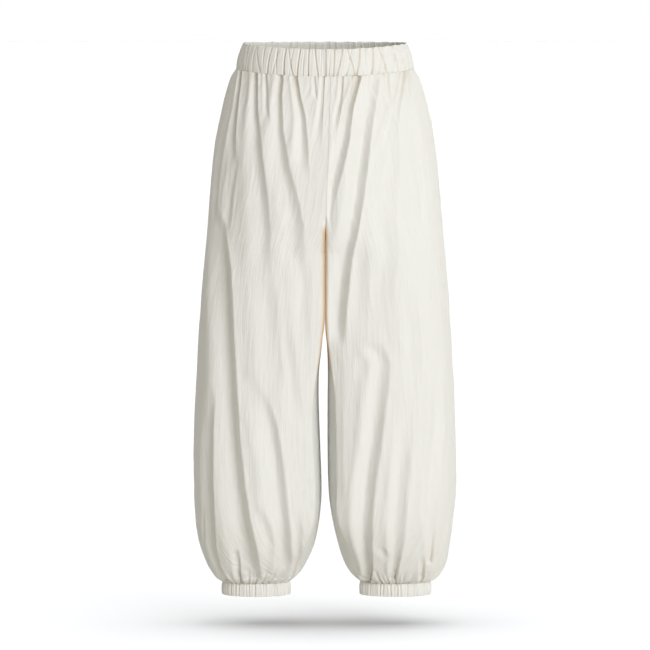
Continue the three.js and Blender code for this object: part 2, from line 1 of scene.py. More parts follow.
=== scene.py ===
# Balloon pants: the looks of the garment, in metres, on the frame's own solids.
# The legs, waistband and cuffs are thin shells on the form of their solids, with finer folds.
# Lengths in the tables are millimetres. +X is the wearer's left, -Y the front and +Z up.

import math

import bpy
import numpy as np
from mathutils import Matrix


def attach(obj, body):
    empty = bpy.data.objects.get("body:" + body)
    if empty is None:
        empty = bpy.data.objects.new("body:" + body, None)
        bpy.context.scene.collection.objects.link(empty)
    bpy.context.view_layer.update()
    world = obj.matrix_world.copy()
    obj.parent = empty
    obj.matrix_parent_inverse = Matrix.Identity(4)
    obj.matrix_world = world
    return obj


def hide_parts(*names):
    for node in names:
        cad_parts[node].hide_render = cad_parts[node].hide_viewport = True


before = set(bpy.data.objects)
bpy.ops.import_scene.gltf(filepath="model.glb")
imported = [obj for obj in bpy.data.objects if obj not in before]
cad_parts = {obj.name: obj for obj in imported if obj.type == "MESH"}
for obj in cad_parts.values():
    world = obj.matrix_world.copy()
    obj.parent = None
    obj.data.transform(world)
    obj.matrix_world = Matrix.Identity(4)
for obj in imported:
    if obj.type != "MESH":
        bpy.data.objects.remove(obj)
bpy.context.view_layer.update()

MM = 0.001

# The smooth garment, by the sizes of the solids, with tighter corners where the legs touch
WAIST_Z = -22.5
BOTTOM_Z = -911.0
DIP = {"front": 9.5, "back": 1.0}
BEND_Z = -262.0
CROTCH_Z = -322.0
CROTCH_Y = 12.0
SIDE_AT_BEND_Z = -205.0
SIDE_AT_CROTCH_Z = -375.0
SIDE_SEAM_AT = 0.93
SHIFT_TOP = 10.0
SHIFT_REACH = 75.0
END_REACH = 24.0
WAIST_HALF = 153.0
QUARTER = 0.5523
HALF = 4 / 3
THIGH_OUTER = 1.0
INNER_DEPTH = 0.95
INNER_CROWN = 1.1
CORNER = 4.5
CORNER_BELOW = 2.0
CORNER_STARTS = 0.6
CORNER_SHARE = 0.8
HIP_Z = -170.0
THIGH_Z = -465.0
KNEE_Z = -680.0
SHIN_Z = -800.0
SHIN_REACH = 110.0
KNEE_SHARE = 0.3
HALF_GAP = 0.15
CLOTH = 1.2
# Where the legs touch, for the corners there and the painted shade between the legs
SLIT_TOP_Z = -280.0
SLIT_TOP_FADE = 20.0
SLIT_FOOT_Z = -560.0
SLIT_FOOT_FADE = 60.0
SLIT_HALF_WIDTH = 4.0

OUTLINE = [
    # z, wearer's right, wearer's left
    (-22, 154, 154), (-45, 164.5, 165), (-95, 178, 180), (-150, 189, 190.5), (-230, 198, 199),
    (-346, 208, 208.5), (-512, 220.5, 220), (-650, 227, 225.5), (-750, 227.5, 227), (-805, 224.5, 222.5),
    (-844, 218, 218), (-875, 207, 211.5), (-895, 193, 199), (-911, 178.5, 183.5),
]
INSEAM = [
    # z, wearer's right, wearer's left
    (-322, 0.2, 0.2), (-445, 0.2, 0.2), (-474, 3.0, 0.9), (-500, 5.5, 3.4), (-545, 10.4, 5),
    (-595, 11, 4.5), (-680, 8, 4.5), (-755, 6, 6.5), (-800, 9.5, 12.5), (-844, 18, 22.5),
    (-875, 31, 32.5), (-895, 43.5, 44), (-911, 61, 61),
]
DEPTH = [
    # z, front, back
    (-22, 98, 96), (-75, 108, 110), (-140, 117, 124), (-210, 121, 132), (-300, 119, 126), (-400, 116, 116),
    (-600, 114, 112), (-740, 114, 114), (-800, 109, 111), (-845, 93, 95), (-875, 74, 76), (-895, 58, 59),
    (-911, 43, 43),
]
BAND = [
    # rise above the seam, half width, front, back
    (0, 153, 98, 96), (14, 151, 97, 95), (32, 146, 94, 92), (44, 141, 90.5, 89),
]


def smooth(t):
    t = np.clip(t, 0.0, 1.0)
    return t * t * (3 - 2 * t)


def mix(a, b, t):
    return a + (b - a) * t


def bell(off, half_width):
    """1 in the middle, and next to nothing two half widths away."""
    return np.exp(-((off / half_width) ** 2))


def curve_of(rows, column):
    """A smooth curve through one column of a table, by the table's first column."""
    rows = sorted(rows)
    at = np.array([row[0] for row in rows], float)
    value = np.array([row[column] for row in rows], float)
    slope = np.empty_like(value)
    slope[1:-1] = (value[2:] - value[:-2]) / (at[2:] - at[:-2])
    slope[0] = (value[1] - value[0]) / (at[1] - at[0])
    slope[-1] = (value[-1] - value[-2]) / (at[-1] - at[-2])

    def curve(z):
        z = np.clip(z, at[0], at[-1])
        i = np.clip(np.searchsorted(at, z, side="right") - 1, 0, len(at) - 2)
        span = at[i + 1] - at[i]
        t = (z - at[i]) / span
        start = value[i] * (1 + 2 * t) * (1 - t) ** 2 + slope[i] * span * t * (1 - t) ** 2
        return start + value[i + 1] * t * t * (3 - 2 * t) + slope[i + 1] * span * t * t * (t - 1)

    return curve


outline = {-1: curve_of(OUTLINE, 1), 1: curve_of(OUTLINE, 2)}
inseam = {-1: curve_of(INSEAM, 1), 1: curve_of(INSEAM, 2)}
depth = {"front": curve_of(DEPTH, 1), "back": curve_of(DEPTH, 2)}
band = [curve_of(BAND, column) for column in (1, 2, 3)]


def inner_edge(side, face, level):
    """Where a row starts on the rise or inseam, and how far it has turned under the crotch."""
    sign = -1 if face == "front" else 1
    reach = depth[face]
    if level > SIDE_AT_BEND_Z:
        t = (WAIST_Z - level) / (WAIST_Z - SIDE_AT_BEND_Z)
        z = mix(WAIST_Z - DIP[face], BEND_Z, t)
        return 0.0, sign * reach(z), z, 0.0
    if level > SIDE_AT_CROTCH_Z:
        t = (SIDE_AT_BEND_Z - level) / (SIDE_AT_BEND_Z - SIDE_AT_CROTCH_Z)
        turn = 1 - math.cos(t * math.pi / 2)
        y = mix(sign * reach(BEND_Z), CROTCH_Y, turn)
        return inseam[side](CROTCH_Z) * turn, y, mix(BEND_Z, CROTCH_Z, math.sin(t * math.pi / 2)), turn
    t = (SIDE_AT_CROTCH_Z - level) / (SIDE_AT_CROTCH_Z - BOTTOM_Z)
    z = mix(CROTCH_Z, BOTTOM_Z, t)
    return inseam[side](z), mix(CROTCH_Y, 0.0, t), z, 1.0


ROW_SAMPLES = 144
WALL_SAMPLES = 24


def bezier(handles, s):
    parts = ((1 - s) ** 3, 3 * s * (1 - s) ** 2, 3 * s * s * (1 - s), s**3)
    return sum(part[:, None] * np.array(handle) for part, handle in zip(parts, handles))


def evenly(points):
    """The same line with its points evenly apart, and the distance along it."""
    along = np.concatenate([[0.0], np.cumsum(np.hypot(*np.diff(points, axis=0).T))])
    at = np.linspace(0, along[-1], ROW_SAMPLES + 1)
    return np.stack([np.interp(at, along, points[:, 0]), np.interp(at, along, points[:, 1])], axis=1), at


def row_of(side, face, level):
    """x, y, z and distance along one row of the smooth garment, from the inner edge to the widest line."""
    x0, y0, z0, turn = inner_edge(side, face, level)
    sign = -1 if face == "front" else 1
    wide = outline[side](level)
    deep = depth[face]((z0 + level) / 2)
    thigh = smooth((HIP_Z - level) / (HIP_Z - THIGH_Z))
    by_knee = smooth((THIGH_Z - level) / (THIGH_Z - KNEE_Z))
    by_ankle = smooth((SHIN_Z - level) / SHIN_REACH)
    rounded = KNEE_SHARE * by_knee + (1 - KNEE_SHARE) * by_ankle
    # Down to the thigh: a flat wall between the legs, a tight corner, then the broad front or back
    keep = smooth(1 - turn / CORNER_STARTS)
    rest = sign * depth[face](max(z0, BEND_Z))
    first = mix(sign * deep * mix(1.0, INNER_DEPTH, turn), rest, keep)
    s = np.linspace(0, 1, ROW_SAMPLES - WALL_SAMPLES + 1) ** 2
    broad = bezier([
        (x0, first),
        (x0 + QUARTER * (wide - x0), mix(sign * deep * mix(1.0, INNER_CROWN, turn), rest, keep)),
        (wide, sign * deep * mix(QUARTER, THIGH_OUTER, thigh)),
        (wide, 0.0),
    ], s)
    broad[:, 1] *= mix(deep / (sign * broad[:, 1]).max(), 1.0, keep)
    corner = mix(CORNER_BELOW, CORNER, smooth((z0 - SLIT_FOOT_Z) / SLIT_FOOT_FADE))
    corner = min(corner, CORNER_SHARE * max(0.0, sign * (broad[0, 1] - y0))) + 1e-6
    near = 1 - np.clip((broad[:, 0] - x0) / corner, 0, 1)
    broad[:, 1] -= sign * corner * near**1.5
    wall = mix(np.array([x0, y0]), broad[0], np.linspace(0, 1, WALL_SAMPLES + 1)[:-1, None])
    upper, _ = evenly(np.concatenate([wall, broad]))
    # Below the thigh it turns, by the ankle wholly, into a tube for each leg
    tube = [(x0, y0), (x0, sign * deep * HALF), (wide, sign * deep * HALF), (wide, 0.0)]
    lower, _ = evenly(bezier(tube, np.linspace(0, 1, ROW_SAMPLES + 1)))
    points, along = evenly(mix(upper, lower, rounded))
    across = (1 - np.cos(np.pi * along / along[-1])) / 2
    return points[:, 0], points[:, 1], mix(z0, level, across), along


def waist_dip(x, front):
    return np.where(front, DIP["front"], DIP["back"]) * np.maximum(0, 1 - (x / WAIST_HALF) ** 2)


# Folds: the path's points (x, z) lie on the fold's wall towards +X. The last two columns say how much of
# the depth is left at the path's upper and lower end.
FRONT_FOLDS = [
    # path, depth, half width towards -X, half width towards +X, left at the top, left at the end
    ([(-143, -26), (-147, -67), (-154, -140), (-155, -190)], 9.0, 8, 7, 1.0, 0.0),
    ([(-117, -31), (-117, -86), (-109, -170), (-100, -253), (-97, -303),
      (-99, -380)], 7.0, 12, 8, 1.0, 0.0),
    ([(-102, -31), (-100, -64), (-95, -120)], 3.5, 6, 6, 1.0, 0.0),
    ([(-76, -33), (-78, -67), (-76, -128), (-66, -187), (-52, -237), (-42, -285),
      (-39, -390)], 7.0, 12, 9, 1.0, 0.0),
    ([(-54, -35), (-49, -67), (-41, -100), (-37, -140), (-33, -215)], 6.5, 8, 8, 1.0, 0.0),
    ([(-26, -35), (-22, -70)], 2.5, 6, 5, 1.0, 0.0),
    ([(-11, -42), (-12, -86), (-14, -160)], 3.0, 6, 7, 1.0, 0.0),
    ([(-189, -242), (-175, -285), (-164, -353), (-161, -419), (-159, -474), (-155, -555), (-149, -656),
      (-140, -739), (-130, -804), (-120, -848), (-113, -898)], 14.0, 21, 11, 0.0, 0.35),
    ([(-120, -552), (-99, -588), (-85, -628), (-76, -689), (-69, -754), (-62, -820), (-61, -870),
      (-72, -900)], 9.5, 16, 9, 0.1, 0.35),
    ([(-109, -764), (-95, -804), (-89, -837), (-93, -890)], 5.0, 9, 8, 0.0, 0.4),
    ([(-153, -842), (-148, -872), (-146, -908)], 5.0, 7, 6, 0.1, 0.7),
    ([(-208, -780), (-206, -844), (-199, -868)], 3.0, 5, 4, 0.1, 0.6),
    ([(-95, -343), (-85, -434), (-85, -457), (-76, -522), (-74, -586)], 3.5, 16, 12, 0.0, 0.0),
    ([(-40, -774), (-42, -860), (-58, -900)], 4.5, 9, 8, 0.0, 0.6),
    ([(-31, -739), (-14, -721)], 2.5, 7, 7, 0.3, 0.3),
    ([(55, -33), (47, -61), (40, -86), (34, -140), (24, -187), (14, -225),
      (5, -280)], 10.0, 13, 7, 1.0, 0.3),
    ([(88, -38), (83, -71), (74, -121), (67, -187), (61, -237), (54, -285), (43, -336), (36, -401),
      (32, -452), (30, -500)], 14.0, 13, 9, 0.35, 0.0),
    ([(22, -35), (21, -71), (14, -121), (10, -164)], 3.5, 7, 6, 1.0, 0.0),
    ([(138, -22), (133, -54), (126, -86), (121, -126), (123, -170), (119, -220), (116, -270), (121, -336),
      (112, -386), (110, -450)], 4.5, 10, 12, 1.0, 0.0),
    ([(107, -26), (110, -74)], 3.0, 6, 6, 1.0, 0.0),
    ([(143, -26), (146, -84)], 3.0, 6, 7, 1.0, 0.0),
    ([(97, -500), (108, -520), (105, -555), (100, -588), (93, -656), (83, -721), (77, -787), (77, -837),
      (81, -884), (78, -908)], 12.0, 11, 12, 0.4, 0.6),
    ([(77, -506), (70, -557)], 2.5, 9, 8, 0.2, 0.0),
    ([(152, -603), (140, -721), (135, -787), (131, -837), (126, -870), (121, -900)], 7.0, 9, 12, 0.0, 0.9),
    ([(196, -520), (202, -623), (192, -739), (188, -820), (184, -870)], 6.0, 9, 13, 0.0, 0.5),
    ([(173, -855), (168, -907)], 4.5, 7, 6, 0.0, 0.9),
    ([(100, -838), (116, -866)], 2.5, 7, 7, 0.2, 0.3),
    ([(198, -850), (190, -885)], 2.0, 6, 6, 0.0, 0.3),
    ([(166, -815), (147, -860)], 2.2, 8, 8, 0.0, 0.1),
    ([(24, -170), (22, -260), (20, -330), (20, -440), (24, -560), (24, -790)], 5.5, 15, 24, 0.0, 0.0),
    ([(-190, -540), (-192, -630), (-192, -730), (-189, -808), (-188, -846), (-179, -880),
      (-168, -905)], 7.0, 13, 8, 0.0, 0.6),
    ([(129, -38), (114, -110), (97, -180), (84, -245)], 3.0, 7, 10, 1.0, 0.0),
    ([(150, -60), (163, -140), (172, -230), (177, -340)], 3.0, 9, 9, 0.0, 0.0),
    ([(-171, -120), (-181, -200), (-189, -300)], 3.0, 7, 8, 0.0, 0.0),
    ([(-146, -160), (-158, -230), (-166, -320)], 3.0, 8, 7, 0.0, 0.0),
    ([(152, -380), (160, -480), (163, -580)], 2.6, 9, 12, 0.0, 0.0),
    ([(64, -300), (72, -380), (70, -470)], 2.4, 12, 10, 0.0, 0.0),
    ([(-62, -440), (-50, -540), (-36, -640)], 2.6, 12, 10, 0.0, 0.0),
    ([(-24, -320), (-30, -420), (-26, -520)], 2.4, 9, 10, 0.0, 0.0),
]
BACK_FOLDS = [
    # path, depth, half width towards -X, half width towards +X, left at the top, left at the end
    ([(-134, -25), (-128, -90), (-131, -170), (-140, -290)], 6.5, 10, 12, 1.0, 0.0),
    ([(-96, -25), (-88, -110), (-72, -220), (-52, -370)], 6.5, 12, 10, 1.0, 0.0),
    ([(-58, -25), (-52, -80), (-46, -170)], 4.0, 8, 8, 1.0, 0.0),
    ([(-30, -25), (-27, -100), (-16, -230)], 4.5, 9, 8, 1.0, 0.0),
    ([(-112, -25), (-110, -75)], 3.0, 6, 6, 1.0, 0.0),
    ([(-55, -365), (-88, -470), (-108, -600), (-117, -740), (-112, -880)], 9.5, 14, 17, 0.0, 0.7),
    ([(-168, -430), (-176, -560), (-172, -700), (-158, -820), (-146, -895)], 8.0, 16, 11, 0.0, 0.8),
    ([(-38, -580), (-46, -700), (-62, -820), (-80, -895)], 5.5, 10, 12, 0.0, 0.8),
    ([(-136, -760), (-130, -840), (-128, -898)], 4.0, 8, 8, 0.0, 0.9),
    ([(-185, -800), (-168, -890)], 4.0, 8, 9, 0.0, 0.7),
    ([(17, -25), (15, -70), (8, -150)], 3.5, 7, 7, 1.0, 0.0),
    ([(48, -25), (42, -100), (28, -210), (14, -270)], 6.0, 10, 11, 1.0, 0.0),
    ([(74, -25), (72, -70), (66, -130)], 3.5, 7, 7, 1.0, 0.0),
    ([(98, -25), (88, -120), (74, -250), (58, -400)], 7.0, 11, 13, 1.0, 0.0),
    ([(138, -25), (141, -110), (150, -200), (154, -300)], 5.5, 11, 10, 1.0, 0.0),
    ([(120, -25), (121, -80)], 3.0, 7, 6, 1.0, 0.0),
    ([(62, -400), (84, -520), (100, -660), (106, -790), (110, -890)], 9.0, 17, 13, 0.0, 0.7),
    ([(164, -460), (176, -600), (172, -740), (160, -850), (150, -898)], 7.5, 11, 15, 0.0, 0.8),
    ([(34, -620), (44, -730), (60, -830), (82, -896)], 5.0, 11, 9, 0.0, 0.8),
    ([(134, -780), (131, -850), (130, -900)], 4.0, 8, 8, 0.0, 0.9),
    ([(194, -800), (178, -890)], 4.0, 9, 8, 0.0, 0.7),
]


PATH_SAMPLES = 80
PATH_SOFTNESS = 6.0


def fold_path(points):
    """x by z along a fold, smoothed through its points."""
    zs = np.array([p[1] for p in points[::-1]], float)
    xs = np.array([p[0] for p in points[::-1]], float)
    if zs[0] > zs[-1]:
        zs, xs = zs[::-1], xs[::-1]
    fine = np.linspace(zs[0], zs[-1], PATH_SAMPLES)
    x = np.interp(fine, zs, xs)
    reach = max(1, int(PATH_SOFTNESS * PATH_SAMPLES / (zs[-1] - zs[0] + 1)))
    kernel = np.hanning(2 * reach + 3)[1:-1]
    padded = np.pad(x, reach, mode="edge")
    return fine, np.convolve(padded, kernel / kernel.sum(), "valid")


PATHS = {
    "front": [(fold_path(f[0]), f) for f in FRONT_FOLDS],
    "back": [(fold_path(f[0]), f) for f in BACK_FOLDS],
}

# A fold's section: its path follows the wall's darkest line, so many half widths from the valley, and
# past that comes the crest, whose height is in depths and whose place and fall are in half widths
DARKEST = 1.1
CREST = 0.3
CREST_AT = 1.5
CREST_FALL = 0.9
# A gather's shoulders, in depths and half widths
SHOULDER = 0.33
SHOULDER_AT = 1.9
SHOULDER_WIDTH = 0.85
# The sharp line in the valley of a fold that runs into a gathered seam
PLEAT_DEPTH = 4.5
PLEAT_HALF_WIDTH = 1.3
PLEAT_LENGTH = {"waist": 100.0, "ankle": 75.0}
FULL_PLEAT_FROM = 6
# How a fold fades out: over so many millimetres, or that share of its length where it is short
TOP_FADE = (140.0, 0.35)
END_FADE = (60.0, 0.45)
# Its tips round off over this length, and past its path it goes on for no more than this
TIP = 14.0
PAST_TOP = 40.0
PAST_END = 2.0
# How a fold changes away from a gathered seam: its value there, its value further off, and how far
WAIST_WIDTH = (0.42, 1.25, 190.0)
WAIST_DEPTH = (1.15, 0.65, 260.0)
WAIST_DEPTH_STARTS = 20.0
ANKLE_WIDTH = (0.5, 1.0, 120.0)


def trough(off, left, right):
    """A gather's section: a narrow valley with soft raised shoulders, off in millimetres."""
    wide = np.where(off < 0, left, right)
    u = np.abs(off) / wide
    return -np.exp(-(u**1.5)) + SHOULDER * bell(u - SHOULDER_AT, SHOULDER_WIDTH)


def draped(off, left, right):
    """A fold's section: it falls softly to the valley and climbs ever steeper to a crest towards +X."""
    u = np.clip(off / right, 0, None)
    climb = CREST - (1 + CREST) * (1 - np.minimum(u / CREST_AT, 1) ** 1.8)
    past = CREST * np.exp(-np.clip(u - CREST_AT, 0, None) / CREST_FALL)
    return np.where(off < 0, trough(off, left, right), np.where(u < CREST_AT, climb, past))


def away_from_seam(change, distance):
    at_seam, beyond, reach = change
    return mix(at_seam, beyond, smooth(distance / reach))


def folds(face, side, x_row, along, share, z):
    """The folds' total depth along one row, and the part of it in their sharp pleat lines."""
    total = np.zeros_like(z)
    sharp = np.zeros_like(z)
    length = along[-1]
    for (fine, path), (points, deep, left, right, top_left, end_left) in PATHS[face]:
        if np.sign(np.mean([p[0] for p in points])) != side:
            continue
        low, high = fine[0], fine[-1]
        inside = (z > low - PAST_END) & (z < high + PAST_TOP)
        if not inside.any():
            continue
        x = np.interp(z, fine, path)
        at = np.interp(side * x, x_row, along)
        off = share * length - at
        end_fade = min(END_FADE[0], END_FADE[1] * (high - low))
        top_fade = min(TOP_FADE[0], TOP_FADE[1] * (high - low))
        ends = mix(end_left, 1.0, smooth((z - low) / end_fade)) * smooth((z - low + TIP) / TIP)
        ends = ends * mix(top_left, 1.0, smooth((high - z) / top_fade))
        wide = 1.0
        pleated = 0.0
        if top_left < 1:
            ends = ends * smooth((high + TIP - z) / TIP)
        else:
            wide = away_from_seam(WAIST_WIDTH, high - z)
            ends = ends * away_from_seam(WAIST_DEPTH, high - z - WAIST_DEPTH_STARTS)
            pleated = 1 - smooth((high - z) / PLEAT_LENGTH["waist"])
        if end_left >= 0.5:
            wide = wide * away_from_seam(ANKLE_WIDTH, z - low)
            pleated = pleated + 1 - smooth((z - low) / PLEAT_LENGTH["ankle"])
        pleat_depth = PLEAT_DEPTH * min(1, deep / FULL_PLEAT_FROM)
        sharp -= np.where(inside, pleat_depth * pleated * bell(off, PLEAT_HALF_WIDTH), 0)
        from_valley = side * off + DARKEST * right * wide
        total += np.where(inside, deep * ends * draped(from_valley, left * wide, right * wide), 0)
    return total, sharp


# Small gathers at the waist seam, between the folds that start there
FRONT_PUCKERS = [
    # x at the seam, depth, length
    (-127, 1.2, 16), (-110, 1.0, 14), (-89, 1.0, 14), (-60, 1.4, 22),
    (-33, 1.2, 18), (-22, 0.8, 12), (-3, 1.0, 16), (10, 0.8, 14), (39, 1.5, 24), (63, 0.9, 14),
    (72, 1.2, 26), (97, 0.9, 14), (124, 1.2, 18), (132, 0.8, 12),
]
BACK_PUCKERS = [
    (
        round(-149 + i * 8.3 + 3.2 * math.sin(2.4 * i), 1),
        1.5 + 0.7 * math.sin(1.7 * i),
        28 + 11 * math.sin(2.9 * i),
    )
    for i in range(37)
]
# Gathers round each leg above its cuff, their places in halves of the way round
ANKLE_PUCKERS = [
    (
        (i + 0.32 * math.sin(2.3 * i + 1)) / 22.5,
        2.9 + 1.3 * math.sin(1.9 * i),
        17 + 11 * math.sin(3.1 * i + 0.5),
    )
    for i in range(46)
]
# How gathers start at their seam: half width, its growth per millimetre, depth in the tables' depths,
# and where the last one has died out
WAIST_PUCKER = (2.2, 0.085, 1.2, 80.0)
ANKLE_PUCKER = (1.3, 0.08, 1.5, 90.0)
PUCKER_STRETCH = 1.8
# The swell above the cuffs: its height, how soon it is full, and over what length it goes
ANKLE_PUFF = (3.2, 7.0, 45.0)


def pucker(off, distance, deep, length, start):
    """One gather, which widens and dies out away from its seam."""
    half_width, growth, depths, _ = start
    wide = half_width + distance * growth
    return depths * deep * (1 - smooth(distance / (PUCKER_STRETCH * length))) * trough(off, wide, wide)


def waist_puckers(face, side, x_row, along, share, level):
    below = WAIST_Z - level
    total = np.zeros_like(share)
    if below > WAIST_PUCKER[-1]:
        return total
    for x, deep, length in FRONT_PUCKERS if face == "front" else BACK_PUCKERS:
        if x * side >= 0:
            off = share * along[-1] - np.interp(side * x, x_row, along)
            total += pucker(off, below, deep, length, WAIST_PUCKER)
    return total


def ankle_puckers(round_at, length, level):
    above = level - BOTTOM_Z
    total = np.zeros_like(round_at)
    if above > ANKLE_PUCKER[-1]:
        return total
    for at, deep, reach in ANKLE_PUCKERS:
        total += pucker((round_at - at) * length, above, deep, reach, ANKLE_PUCKER)
    puff, full_at, fades_over = ANKLE_PUFF
    return total + puff * smooth(above / full_at) * (1 - smooth((above - full_at) / fades_over))


def noise_field(across, up, cell_across, cell_up, seed):
    """Smooth random values from -1 to 1 by place on the cloth, with cells of that size in millimetres."""
    a = (across - across.min()) / cell_across
    b = (up - up.min()) / cell_up
    values = np.random.default_rng(seed).uniform(-1, 1, (int(b.max()) + 4, int(a.max()) + 4))
    i, j = b.astype(int), a.astype(int)
    f, g = b - i, a - j

    def blend(v0, v1, v2, v3, t):
        bend = 2 * v0 - 5 * v1 + 4 * v2 - v3 + t * (3 * (v1 - v2) + v3 - v0)
        return v1 + 0.5 * t * (v2 - v0 + t * bend)

    lines = [blend(*[values[i + k, j + m] for m in range(4)], g) for k in range(4)]
    return blend(*lines, f)


def grid_normals(p, side):
    across = np.gradient(p, axis=1)
    up = -np.gradient(p, axis=0)
    n = np.cross(across, up) * side
    return n / np.maximum(np.linalg.norm(n, axis=2, keepdims=True), 1e-9)


def spaced(count, dense):
    """Places from 0 to 1 that crowd together at both ends."""
    t = np.linspace(0, 1, count)
    return t - dense * np.sin(2 * np.pi * t) / (2 * np.pi)


FRONT_COLUMNS = 196
BACK_COLUMNS = 200
ROWS = 224
CROWDED_COLUMNS = 0.5
CROWDED_ROWS = 0.62
LEVELS = mix(WAIST_Z - 0.25, BOTTOM_Z + 0.5, spaced(ROWS, CROWDED_ROWS))
LEVELS = np.concatenate([[WAIST_Z - 0.05], LEVELS, [BOTTOM_Z + 0.3]])
# Over this length the folds grow from the rise and the inseam, and the small creases from the other seams
SEAM_CLEAR = 10.0
END_CLEAR = 12.0
# Painted shade in the creases: how deep a crease starts to be painted darker and warmer, how much deeper
# it is strongest, and how strong
LEG_PAINTED_SHADE = (0.5, 4, 0.6)
# In the painted shade, a gather counts for this much more than its depth there
TUCKED_PUCKERS = 1.3

UNEVEN = [
    # cell across, cell up, height, seed
    (26, 100, 0.9, 40),
    (13, 42, 0.5, 50),
]
# Crisp little creases, mostly upright, in uneven patches
CREASES = [
    # cell across, cell up, depth, seed
    (9, 34, 0.85, 80),
    (5, 16, 0.48, 90),
    (3, 7, 0.22, 100),
]
# The patches' cell across, cell up and seed
PATCHES = (45, 90, 70)
# How the cloth is drawn in along its seams: depth and half width
WAIST_TUCK = (0.2, 1.6)
CUFF_TUCK = (1.0, 2.2)
SIDE_TUCK = (0.7, 1.6)
# Half of the way round a leg
HALF_ROUND = 260


# Painted shade: how strongly a crease of this depth is painted darker and warmer
def painted_crease_shade(deep, creases):
    starts, reach, most = creases
    return most * np.clip((deep - starts) / reach, 0, 1)


def leg_row(side, level):
    """One row round a leg, as arrays that leg() names."""
    xf, yf, zf, af = row_of(side, "front", level)
    xb, yb, zb, ab = row_of(side, "back", level)
    gap_f, gap_b = HALF_GAP / af[-1], HALF_GAP / ab[-1]
    front_round = mix(gap_f, SIDE_SEAM_AT - gap_f, spaced(FRONT_COLUMNS, CROWDED_COLUMNS))
    back_round = mix(SIDE_SEAM_AT + gap_f, 2 - gap_b, spaced(BACK_COLUMNS, CROWDED_COLUMNS))
    r = np.concatenate([front_round, back_round])
    front = r <= 1
    share = np.where(front, r, 2 - r)
    at_f, at_b = share * af[-1], share * ab[-1]
    x = np.where(front, np.interp(at_f, af, xf), np.interp(at_b, ab, xb))
    y = np.where(front, np.interp(at_f, af, yf), np.interp(at_b, ab, yb))
    z = np.where(front, np.interp(at_f, af, zf), np.interp(at_b, ab, zb))
    at_waist = smooth(1 - (WAIST_Z - level) / END_REACH)
    z = mix(z, level - waist_dip(x, front), at_waist)
    soft_f, sharp_f = folds("front", side, xf, af, share, z)
    soft_b, sharp_b = folds("back", side, xb, ab, share, z)
    puckers_f = waist_puckers("front", side, xf, af, share, level)
    puckers_b = waist_puckers("back", side, xb, ab, share, level)
    gathers = ankle_puckers(r, (af[-1] + ab[-1]) / 2, level)
    sharp = np.where(front, sharp_f, sharp_b)
    move = np.where(front, soft_f + puckers_f, soft_b + puckers_b) + sharp + gathers
    puckered = np.where(front, puckers_f, puckers_b) + np.minimum(gathers, 0)
    tucked = sharp + TUCKED_PUCKERS * np.minimum(puckered, 0)
    clear = smooth((x - xf[0]) / SEAM_CLEAR)
    from_side = np.where(front, at_f - af[-1], ab[-1] - at_b)
    return side * x, y, z, r, move * clear, tucked * clear, clear, from_side


def crumpled(u, z, side):
    """The cloth's small unevenness, by the distance round from the side and the height."""
    total = 0
    for across, up, height, seed in UNEVEN:
        total = total + height * noise_field(u, z, across, up, seed + side)
    across, up, seed = PATCHES
    patchy = 0.55 + 0.45 * noise_field(u, z, across, up, seed + side)
    for across, up, deep, seed in CREASES:
        total = total - deep * patchy * np.abs(noise_field(u, z, across, up, seed + side)) ** 0.8
    return total


def tuck(level, rounds):
    """How far the cloth is drawn in along its seams."""
    total = 0
    side_line = (rounds - SIDE_SEAM_AT) * HALF_ROUND
    for off, (deep, half_width) in (
        (WAIST_Z - level, WAIST_TUCK),
        (level - BOTTOM_Z, CUFF_TUCK),
        (side_line, SIDE_TUCK),
    ):
        total = total + deep * bell(off, half_width)
    return total


def gap_painted_shade(side, x, z):
    """How near a point is to where the legs touch, from 0 to 1, for the painted shade between the legs."""
    from_gap = side * x - inseam[side](np.minimum(z, CROTCH_Z))
    between = smooth((z - SLIT_FOOT_Z) / SLIT_FOOT_FADE) * smooth((SLIT_TOP_Z - z) / SLIT_TOP_FADE)
    return between * bell(from_gap, SLIT_HALF_WIDTH)


def leg(side):
    """One leg's outer face: points, normals, distance from the side, and the painted shade and glow in the
    creases and between the legs.
    """
    rows = [leg_row(side, level) for level in LEVELS]
    xs, ys, zs, rounds, moved, tucked, clear, u = [np.array(column) for column in zip(*rows)]
    p = np.dstack([xs, ys, zs])
    n = grid_normals(p, side)
    level = LEVELS[:, None]
    n[:, :, 2] *= smooth((WAIST_Z - level) / END_REACH) * smooth((level - BOTTOM_Z) / END_REACH)
    n /= np.linalg.norm(n, axis=2, keepdims=True)
    ends = smooth((level - BOTTOM_Z) / END_CLEAR) * smooth((WAIST_Z - level) / END_CLEAR)
    move = moved + crumpled(u, p[:, :, 2], side) * clear * ends
    p = p + n * (move - tuck(level, rounds))[:, :, None]
    down = np.clip((p[:, :, 2] - CROTCH_Z) / (WAIST_Z - CROTCH_Z), 0, 1)
    p[:, :, 0] = side * np.maximum(side * p[:, :, 0], HALF_GAP)
    front = rounds < 1
    p[:, :, 0] += np.where(front, SHIFT_TOP * down * bell(p[:, :, 0], SHIFT_REACH), 0)
    at_waist = smooth(1 - (WAIST_Z - level) / END_REACH)
    p[:, :, 2] = mix(p[:, :, 2], level - waist_dip(p[:, :, 0], front), at_waist)
    # Painted shade: the deep creases and the gap between the legs are painted darker and warmer, and glow
    # a little
    painted_shade_and_glow = np.maximum(painted_crease_shade(-tucked, LEG_PAINTED_SHADE), gap_painted_shade(side, p[:, :, 0], p[:, :, 2]))
    return p, grid_normals(p, side), u, painted_shade_and_glow


